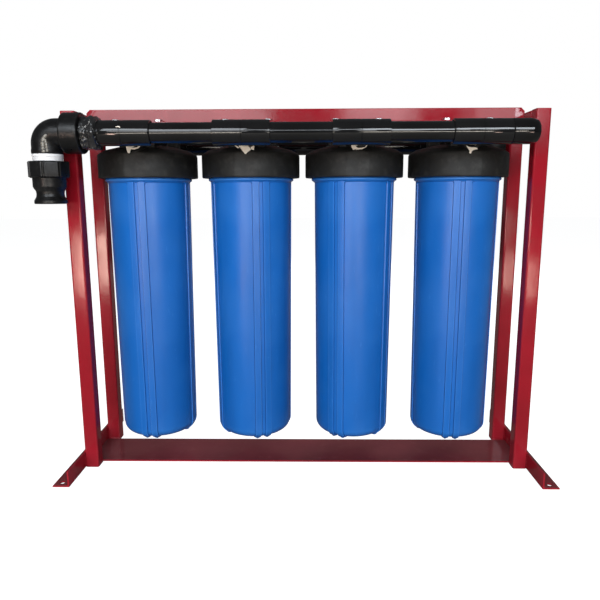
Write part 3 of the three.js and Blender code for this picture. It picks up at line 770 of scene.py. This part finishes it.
def housing_pieces():
    cap = cap_mesh()
    bowl = bowl_mesh()
    seal = make_mesh("seal", turned([(75 + 2.5 * math.cos(a), 572.2 + 2.5 * math.sin(a))
                                     for a in np.arange(12) / 12 * TAU], 72))
    pleats = 72

    def pleated(angle, radius, height):
        if radius > 54.0 and 62.0 < height < 558.0:
            return radius - 1.2 - 1.0 * math.cos(angle * pleats)
        return radius
    low, high = box("cartridge_1")
    core = rounded([(14.0, low.z), (56.5, low.z), (56.9, low.z + 2), (56.9, low.z + 6),
                    (55.4, low.z + 8), (55.4, high.z - 8), (56.9, high.z - 6), (56.9, high.z - 2),
                    (56.5, high.z), (14.0, high.z)], 0.4, 2)
    cartridge = make_mesh("cartridge", turned(core.tolist(), pleats * 4, pleated), 60)
    for number, turn in zip(HOUSINGS, BOWL_TURNS_DEG):
        low, high = box(f"cartridge_{number}")
        x = (low.x + high.x) / 2
        place(f"cap_shell_{number}", cap, "stand", "cap_black", [f"cap_{number}"],
              (x, 0, 0))
        own = bowl.copy()
        own.transform(Matrix.Rotation(math.radians(turn), 4, "Z"))
        place(f"bowl_{number}", own, f"bowl_{number}", "bowl_blue", [f"sump_{number}"],
              (x, 0, 0))
        place(f"seal_{number}", seal, f"bowl_{number}", "seal_black", [f"o_ring_{number}"],
              (x, 0, 0))
        place(f"element_{number}", cartridge, f"core_{number}", "filter_fibre",
              [f"cartridge_{number}"], (x, 0, 0))
        scraps(number, x)


# Loose ends of thread tape hanging at the front ports: corners as (x, z) from the port axis.
TAPE = {
    1: [
        [(-12, -15), (-7, -14), (-3, -19), (-4, -23), (-6, -28), (-9, -28), (-11, -23)],
        [(-4, -18), (2, -19), (8, -18), (14, -14), (15, -15), (9, -20), (2, -22), (-4, -21)],
    ],
    2: [
        [(-13, -16), (-8, -21), (-5, -25), (0, -31), (4, -27), (10, -23), (7, -19), (3, -16)],
        [(-20, -16), (-15, -16), (-9, -21), (-14, -20)],
        [(9, -19), (16, -16), (15, -24), (10, -23)],
    ],
    3: [
        [(-13, -16), (-6, -16), (-4, -19), (-1, -21), (-2, -24), (-6, -23), (-9, -25), (-11, -21)],
        [(-2, -21), (5, -21), (11, -20), (14, -16), (15, -18), (11, -21), (6, -23), (-2, -24)],
    ],
    4: [
        [(-11, -17), (-6, -20), (-1, -21), (4, -21), (9, -22), (9, -24), (4, -25), (0, -27),
         (-2, -32), (-5, -30), (-4, -27), (-7, -23)],
    ],
}


def scraps(number, x):
    """Tape scraps hanging in front of one cap's port."""
    shapes = []
    y = box(f"cap_{number}")[0].y - 0.6
    for index, corners in enumerate(TAPE[number]):
        loop = rounded(corners, 1.2, 2, closed=True)
        front, back = [], []
        for px, pz in loop:
            curl = 1.3 * noise.noise(Vector((px * 0.16 + number * 3.1, pz * 0.2, index)))
            front.append((x + px, y - 0.9 + curl, AXIS_Z + pz))
            back.append((x + px, y - 0.3 + curl, AXIS_Z + pz))
        shapes.append(loft([np.array(front), np.array(back)]))
    place(f"tape_scrap_{number}", make_mesh("tape_scrap", join(*shapes), 50), "stand",
          "thread_tape", ())


# ------------------------------------------------------------------ manifolds
PIPE_R = 16.7                      # 1 inch pipe
SOCKET_R = 20.6                    # outside of the tees and the end cap
TEE_HALF = 47.0
FIRST_TEE_HALF = 37.5              # the inlet end of the first tee is cut short
END_CAP_REACH = 43.5
ELBOW_R = 24.1


def front(x, z=AXIS_Z):
    """A point over the front pipe run."""
    return x, FRONT_Y, z


def moved(mesh, at):
    """The mesh, moved by millimetres."""
    mesh.transform(Matrix.Translation(Vector(at) * MM))
    return mesh


def about(point, turn):
    """A turn about a point in millimetres."""
    shift = Vector(point) * MM
    return Matrix.Translation(shift) @ turn @ Matrix.Translation(-shift)


def tee_mesh(left):
    """Socket tee about its own centre: run along X from -left, branch and threaded end to +Y."""
    bore, out = 17.1, SOCKET_R
    run = rounded([(0, 22 - left), (bore, 22 - left), (bore, 0.4 - left), (18.0, -left),
                   (out, -left), (out, -0.9), (20.2, -0.45), (20.2, 0.45), (out, 0.9),
                   (out, TEE_HALF), (18.0, TEE_HALF), (bore, TEE_HALF - 0.4), (bore, 25), (0, 25)],
                  [0, 0, 0, 0, 1.2, 0, 0, 0, 0, 1.2, 0, 0, 0, 0], 3)
    barrel = placed(turned(run.tolist(), 72), "X")
    stem = rounded([(0, 0), (19.6, 0), (19.6, 36), (PIPE_R, 36), (PIPE_R, 53), (15.8, 69), (0, 69)],
                   [0, 0, 1.4, 0.6, 0.4, 0.6, 0], 3)
    branch = placed(turned(stem.tolist(), 56), "Y")
    return worked("tee", barrel, [("UNION", branch, False)], [], CREASE_DEG)


def pipe_shape(length):
    """A length of pipe with its bore, slightly chamfered at the ends."""
    return turned([(13.2, 0), (16.4, 0), (PIPE_R, 0.4), (PIPE_R, length * 0.33),
                   (PIPE_R, length * 0.66), (PIPE_R, length - 0.4), (16.4, length),
                   (13.2, length)], 64)


def end_cap_shape():
    """Slip plug with a domed end, from its shoulder outwards."""
    profile = rounded([(0, -22), (PIPE_R, -22), (PIPE_R, 0), (SOCKET_R, 0), (SOCKET_R, 30.0),
                       (18.0, END_CAP_REACH), (0, END_CAP_REACH)], [0, 0, 0, 0.8, 9.0, 9.0, 0], 6)
    return turned(profile.tolist(), 72)


def reducer_shape(length, radius):
    """Hex nut smothered in sealant: the flats sag and swell."""
    count = 96
    angles = np.arange(count) / count * TAU
    apothem = radius * math.cos(math.pi / 6)
    rings = []
    stations = [(-15.0, 0.78, 0), (-0.5, 0.78, 0), (-0.4, 0.84, 0.4), (0.6, 0.95, 0.8)]
    stations += [(2.0 + k * 1.45, 1.0, 1.0) for k in range(17)]
    stations += [(length - 0.8, 0.92, 0.7), (length + 0.3, 0.76, 0.3), (length + 0.9, 0.6, 0.1),
                 (length + 22, 0.565, 0)]
    for x, scale, lumps in stations:
        row = []
        for a in angles:
            flat = apothem / math.cos((a + math.pi / 6) % (math.pi / 3) - math.pi / 6)
            base = min(flat, radius * 0.985) * scale if scale > 0.8 else radius * scale
            p = Vector((x * 0.11, math.cos(a) * 2.4, math.sin(a) * 2.4))
            lump = 2.3 * noise.noise(p) + 1.6 * noise.noise(p * 2.7)
            waist = -1.8 * math.exp(-((x - length * 0.42) / 4.0) ** 2) if lumps >= 1.0 else 0.0
            r = base + lumps * (lump + waist)
            row.append((x, r * math.sin(a), r * math.cos(a)))
        rings.append(np.array(row))
    return loft(rings)


def elbow_mesh():
    """Elbow about the crossing of its axes: collar towards +X, outlet towards -Z."""
    low, high = box("inlet_elbow")
    cx = low.x + ELBOW_R
    bend = 18.0

    def ring(centre, along):
        side = Vector((0, 1, 0))
        up = Vector(along).normalized().cross(side)
        return hoop(Vector(centre), side, up, ELBOW_R, ELBOW_R, 56)

    rings = [ring((36, 0, 0), (-1, 0, 0))]
    for k in range(19):
        t = k / 18 * math.pi / 2
        rings.append(ring((bend - bend * math.sin(t), 0, -bend + bend * math.cos(t)),
                          (-math.cos(t), 0, -math.sin(t))))
    bottom = low.z - AXIS_Z
    rings.append(ring((0, 0, bottom), (0, 0, -1)))
    end = high.x - cx
    collar = rounded([(0, end - 30), (33, end - 30), (33, end), (0, end)], [0, 2.6, 1.8, 0], 4)
    lip = rounded([(0, bottom), (24.8, bottom), (24.8, bottom + 6), (ELBOW_R, bottom + 9),
                   (0, bottom + 9)], [0, 0.8, 1.5, 1.0, 0], 3)
    shape = join(loft(rings), placed(turned(collar.tolist(), 80), "X"), turned(lip.tolist(), 80))
    return moulded("elbow", shape, 0.9, 6), cx


def smear_mesh():
    """Sealant run down the inside of the bend, about the crossing of the elbow's axes."""
    shapes = []
    for seed, points, radius in (
        (3, [(9, -1), (5, -3), (0, -5), (-4, -10), (-6, -18), (-6, -26), (-5, -32)], 3.4),
        (5, [(1, 2), (2, -3), (0, -8)], 3.0),
        (9, [(-2, -10), (-1, -20), (0, -31)], 2.6),
    ):
        path = [(x, 0.6 - math.sqrt(ELBOW_R ** 2 - min(x * x, z * z)), z) for x, z in points]
        shapes.append(weld(path, radius, seed, 0.2))
    verts, faces = join(*shapes)
    turn = np.array(Matrix.Rotation(math.radians(24), 3, "Z"))
    return verts @ turn.T, faces


def nipple_shape(low, high):
    """White nipple from its lower thread up."""
    band, lip, thread, bore = 23.4, 24.3, 20.8, 17.2
    profile = [(bore, low - 13), (thread - 0.6, low - 13)]
    for k in range(5):
        z = low - 12.5 + k * 2.2
        profile += [(thread - 0.7, z), (thread, z + 1.1)]
    profile += [(thread, low + 0.3)]
    profile += rounded([(thread, low + 0.3), (band, low + 0.3), (band, high - 4.4),
                        (lip, high - 4.0), (lip, high), (thread, high)],
                       [0, 0.6, 0.4, 0.5, 0.9, 0], 3).tolist()
    profile += [(thread, high + 9), (bore, high + 9)]
    return turned(profile, 72)


def coupling_mesh(z0, z1):
    """Cam-and-groove plug: lugged collar, barrel, waist for the cam arms and end rim."""
    lug_face = 31.3
    lug_half_turn = math.radians(18.9)
    lug_centre = math.radians(29.7)
    lug_edge = math.radians(1.4)
    step = math.pi / 4

    def lugs(angle, radius, height):
        if radius < 29.8 or height < z0 + 42.9:
            return radius
        turn = abs((angle - lug_centre + step / 2) % step - step / 2)
        blend = min(1.0, max(0.0, (turn - lug_half_turn) / lug_edge))
        proud = lug_face / math.cos(min(turn, lug_half_turn)) - 30.6
        return radius + proud * (1 - blend)

    profile = rounded([
        (16.2, z0 + 0.6), (16.9, z0), (25.1, z0), (26.1, z0 + 1.2), (26.1, z0 + 5.4),
        (25.1, z0 + 7.0), (22.4, z0 + 12.0), (21.8, z0 + 16.5), (22.4, z0 + 21.0),
        (25.4, z0 + 25.6), (26.5, z0 + 28.0), (26.5, z0 + 42.2), (29.4, z0 + 42.4),
        (30.6, z0 + 44.2), (30.6, z1 - 1.6), (29.9, z1 - 0.1), (21.8, z1 - 0.1), (21.7, z1 - 15),
        (16.2, z1 - 16)],
        [0, 0, 0.5, 0.5, 0.8, 2.0, 5.0, 7.0, 5.0, 2.0, 1.2, 0.8, 0.6, 0.6, 0.6, 0.6, 0, 0, 0], 3)
    return make_mesh("coupling", turned(profile.tolist(), 180, lugs), 28)


def manifold_pieces():
    """Both pipe runs: the outlet's pieces are the inlet's, turned half round the row's centre,
    with the outlet's end tipped to point back."""
    tees = {number: tee_mesh(half) for number, half in ((1, FIRST_TEE_HALF), (2, TEE_HALF))}
    elbow, elbow_x = elbow_mesh()
    row = (box("inlet_tee_1")[0].x + box("outlet_tee_1")[1].x) / 2
    half_turn = about((row, 0, 0), Matrix.Rotation(math.pi, 4, "Z"))
    tip_back = about((0, REAR_Y, AXIS_Z), Matrix.Rotation(math.pi / 2, 4, "X"))

    def pair(name, mesh, finish, tipped=False):
        place(f"inlet_{name}_piece", mesh, "stand", finish, [f"inlet_{name}"])
        back = mesh.copy()
        back.transform(half_turn)
        if tipped:
            back.transform(tip_back)
        place(f"outlet_{name}_piece", back, "stand", finish, [f"outlet_{name}"])

    for number in HOUSINGS:
        low, high = box(f"inlet_tee_{number}")
        own = moved(tees[min(number, 2)].copy(), front(high.x - TEE_HALF))
        pair(f"tee_{number}", own, "pipe_gloss")
    for number in HOUSINGS[:3]:
        low, high = box(f"inlet_pipe_{number}")
        shape = placed(pipe_shape(high.x - low.x), "X", front(low.x))
        pair(f"pipe_{number}", make_mesh("pipe", shape), "pipe_gloss")
    low, high = box("inlet_end_cap")
    shape = placed(end_cap_shape(), "X", front(high.x - END_CAP_REACH))
    pair("end_cap", make_mesh("end_cap", shape), "pipe_gloss")

    low, high = box("inlet_reducer")
    shape = placed(reducer_shape(26.5, 29.5), "Z", front(low.x + 15.0))
    pair("reducer", make_mesh("reducer", shape, 60), "sealant_gloss")

    pair("elbow", moved(elbow, front(elbow_x)), "satin_black", True)
    smear = placed(smear_mesh(), "Z", front(elbow_x))
    place("sealant_smear", make_mesh("smear", smear, 60), "stand", "sealant_grey", ())

    low, high = box("inlet_tee_1")
    fleck = weld([(-3.5, -19.9, 7.6), (0.5, -19.6, 8.3), (4.0, -20.1, 6.8)], 1.2, 21, 0.1)
    fleck = placed(fleck, "Z", front(high.x - 48.0))
    place("tape_fleck", make_mesh("tape_fleck", fleck, 60), "stand", "thread_tape", ())

    low, high = box("inlet_coupling")
    shape = placed(nipple_shape(high.z, box("inlet_elbow")[0].z - 0.3), "Z", front(elbow_x, 0))
    pair("nipple", make_mesh("nipple", shape), "white_pvc", True)
    mesh = moved(coupling_mesh(low.z + 0.05, high.z), front(elbow_x, 0))
    pair("coupling", mesh, "satin_black", True)


def weld_pieces():
    """Beads where the tubes, the plate and the feet meet."""
    beads = []
    for sign, side in ((-1, "left"), (1, "right")):
        rail_low, rail_high = box(f"side_rail_{side}")
        for row in ("front", "rear"):
            low, high = box(f"leg_{row}_{side}")
            outer, inner = (low.x, high.x) if sign < 0 else (high.x, low.x)
            edge = high.y if row == "front" else low.y
            near, far = outer + sign * 1.0, outer + sign * 1.2
            beads += [([(far, y, 4.0), (near, y, 16), (far, y, 29.0)], 1.9)
                      for y in (low.y, high.y)]
            beads += [
                ([(near, low.y + 1, 30.4), (near, high.y - 1, 30.4)], 1.8),
                ([(outer - sign * 1, edge, 3.6), (inner, edge, 3.6)], 1.8),
                ([(inner, edge, rail_low.z + 1), (inner, edge, rail_high.z - 1.5)], 1.3),
                ([(inner, edge, rail_low.z), (outer, edge, rail_low.z)], 1.4),
            ]
    shapes = [weld(points, radius, seed) for seed, (points, radius) in enumerate(beads, 2)]
    place("weld_beads", make_mesh("weld_beads", join(*shapes), 60), "stand", "red_enamel", ())


stand_pieces()
screw_pieces()
housing_pieces()
manifold_pieces()
weld_pieces()


# ------------------------------------------------------------------ camera, floor and light
CAMERA_AT = (8.63, -1116.7, 506.85)
CAMERA_DEG = (-10.316, -0.931, -0.197)       # pitch, yaw and roll
FOCAL_SHARE = 574.7 / 600                    # focal length over picture width
SENSOR_WIDTH = 36.0


def camera():
    data = bpy.data.cameras.new("camera")
    data.sensor_width = SENSOR_WIDTH
    data.lens = FOCAL_SHARE * SENSOR_WIDTH
    data.clip_start = 0.05
    data.clip_end = 50.0
    cam = add("camera", data)
    pitch, yaw, roll = (math.radians(a) for a in CAMERA_DEG)
    forward = Vector((math.sin(yaw) * math.cos(pitch), math.cos(yaw) * math.cos(pitch),
                      math.sin(pitch)))
    level = Vector((math.cos(yaw), -math.sin(yaw), 0))
    up = level.cross(forward)
    right = level * math.cos(roll) + up * math.sin(roll)
    over = up * math.cos(roll) - level * math.sin(roll)
    turn = Matrix((right, over, -forward)).transposed().to_4x4()
    cam.matrix_world = Matrix.Translation(Vector(CAMERA_AT) * MM) @ turn
    bpy.context.scene.camera = cam


def floor():
    """A floor that looks white, but lights and reflects like a pale grey one."""
    size = 12.0
    mesh = bpy.data.meshes.new("floor")
    mesh.from_pydata([(-size, -size, 0), (size, -size, 0), (size, size, 0), (-size, size, 0)],
                     [], [(0, 1, 2, 3)])
    ground = add("floor", mesh)
    paint = bpy.data.materials.new("floor_pale")
    tree = Nodes(paint)
    dim = tree.node("ShaderNodeBsdfDiffuse", Color=(0.30, 0.285, 0.26, 1))
    bright = tree.node("ShaderNodeBsdfDiffuse", Color=(0.5, 0.5, 0.5, 1))
    glow = tree.node("ShaderNodeEmission", Strength=0.93)
    both = tree.node("ShaderNodeAddShader")
    tree.feed(both.inputs[0], bright.outputs[0])
    tree.feed(both.inputs[1], glow.outputs[0])
    tree.shown("ShaderNodeOutputMaterial", dim, both)
    mesh.materials.append(paint)


def world():
    """White behind the piece, with a faint cool light all round it."""
    sky = bpy.context.scene.world = bpy.data.worlds.new("studio")
    tree = Nodes(sky)
    seen = tree.node("ShaderNodeBackground", Color=(1, 1, 1, 1), Strength=1.0)
    room = tree.node("ShaderNodeBackground", Color=(0.9, 0.95, 1.0, 1), Strength=0.12)
    tree.shown("ShaderNodeOutputWorld", room, seen)


MIDDLE = (0.0, 0.0, 0.45)
DAYLIGHT = (0.86, 0.93, 1.0)
PALE = (0.95, 0.97, 1.0)
ROSE = (1.0, 0.7, 0.58)
WARM = (1.0, 0.92, 0.8)
NEUTRAL = (0.97, 0.98, 1.0)
WHITE = (1, 1, 1)


def panel(name, at, width, height, radiance, color, mirrored=True, lighting=True, target=MIDDLE):
    """A rectangular soft light of the given brightness, facing its target. One that is not
    mirrored lights the pieces without showing as a highlight; one that is not lighting only
    shows as a highlight."""
    data = bpy.data.lights.new(name, "AREA")
    data.shape = "RECTANGLE"
    data.size, data.size_y = width, height
    data.energy = radiance * math.pi * width * height
    data.color = color
    light = add(name, data)
    at = Vector(at)
    aim = (Vector(target) - at).to_track_quat("-Z", "Y")
    light.matrix_world = Matrix.Translation(at) @ aim.to_matrix().to_4x4()
    light.visible_camera = False
    light.visible_glossy = mirrored
    light.visible_diffuse = lighting


camera()
floor()
world()
panel("window_left", (-1.05, -2.9, 1.45), 1.5, 0.5, 12.0, DAYLIGHT, mirrored=False)
panel("window_right", (1.1, -2.9, 1.45), 1.6, 0.5, 12.0, DAYLIGHT, mirrored=False)
panel("pane_left", (-1.05, -2.9, 1.85), 1.5, 0.9, 9.0, DAYLIGHT, lighting=False)
panel("pane_right", (1.1, -2.9, 1.55), 1.6, 0.6, 14.0, DAYLIGHT, lighting=False)
panel("window_middle", (0.0, -2.9, 1.45), 0.6, 0.2, 10.0, DAYLIGHT)
panel("soft_left", (-0.92, -3.1, 1.05), 1.35, 0.35, 5.8, PALE)
panel("soft_right", (0.49, -3.1, 1.05), 0.5, 0.35, 5.8, PALE)
panel("soft_edge", (1.34, -3.1, 1.05), 0.4, 0.35, 4.0, PALE)
panel("glint_left", (-1.09, -2.0, 0.16), 0.16, 0.29, 24.0, ROSE)
panel("glint_right", (1.1, -2.0, 0.09), 0.1, 0.18, 13.0, ROSE)
panel("glow_left", (-0.93, -3.3, 0.27), 0.95, 0.22, 17.0, WARM)
panel("glow_right", (0.88, -3.3, 0.27), 1.08, 0.22, 17.0, WARM)
panel("fill", (-0.35, -3.0, 0.95), 1.9, 1.4, 4.2, NEUTRAL, mirrored=False)
panel("back_fill", (0.8, 3.0, 1.5), 2.4, 1.8, 3.0, NEUTRAL, mirrored=False)
panel("side_fill_left", (-3.0, 0.9, 1.2), 1.6, 1.6, 1.1, WHITE, mirrored=False)
panel("side_fill_right", (3.0, 0.9, 1.2), 1.6, 1.6, 1.1, WHITE, mirrored=False)
panel("overhead", (0.2, 0.6, 2.6), 2.6, 1.6, 0.7, WHITE, mirrored=False, target=(0, 0, 0.3))
bpy.context.scene.view_settings.view_transform = "Standard"
bpy.context.scene.view_settings.look = "None"
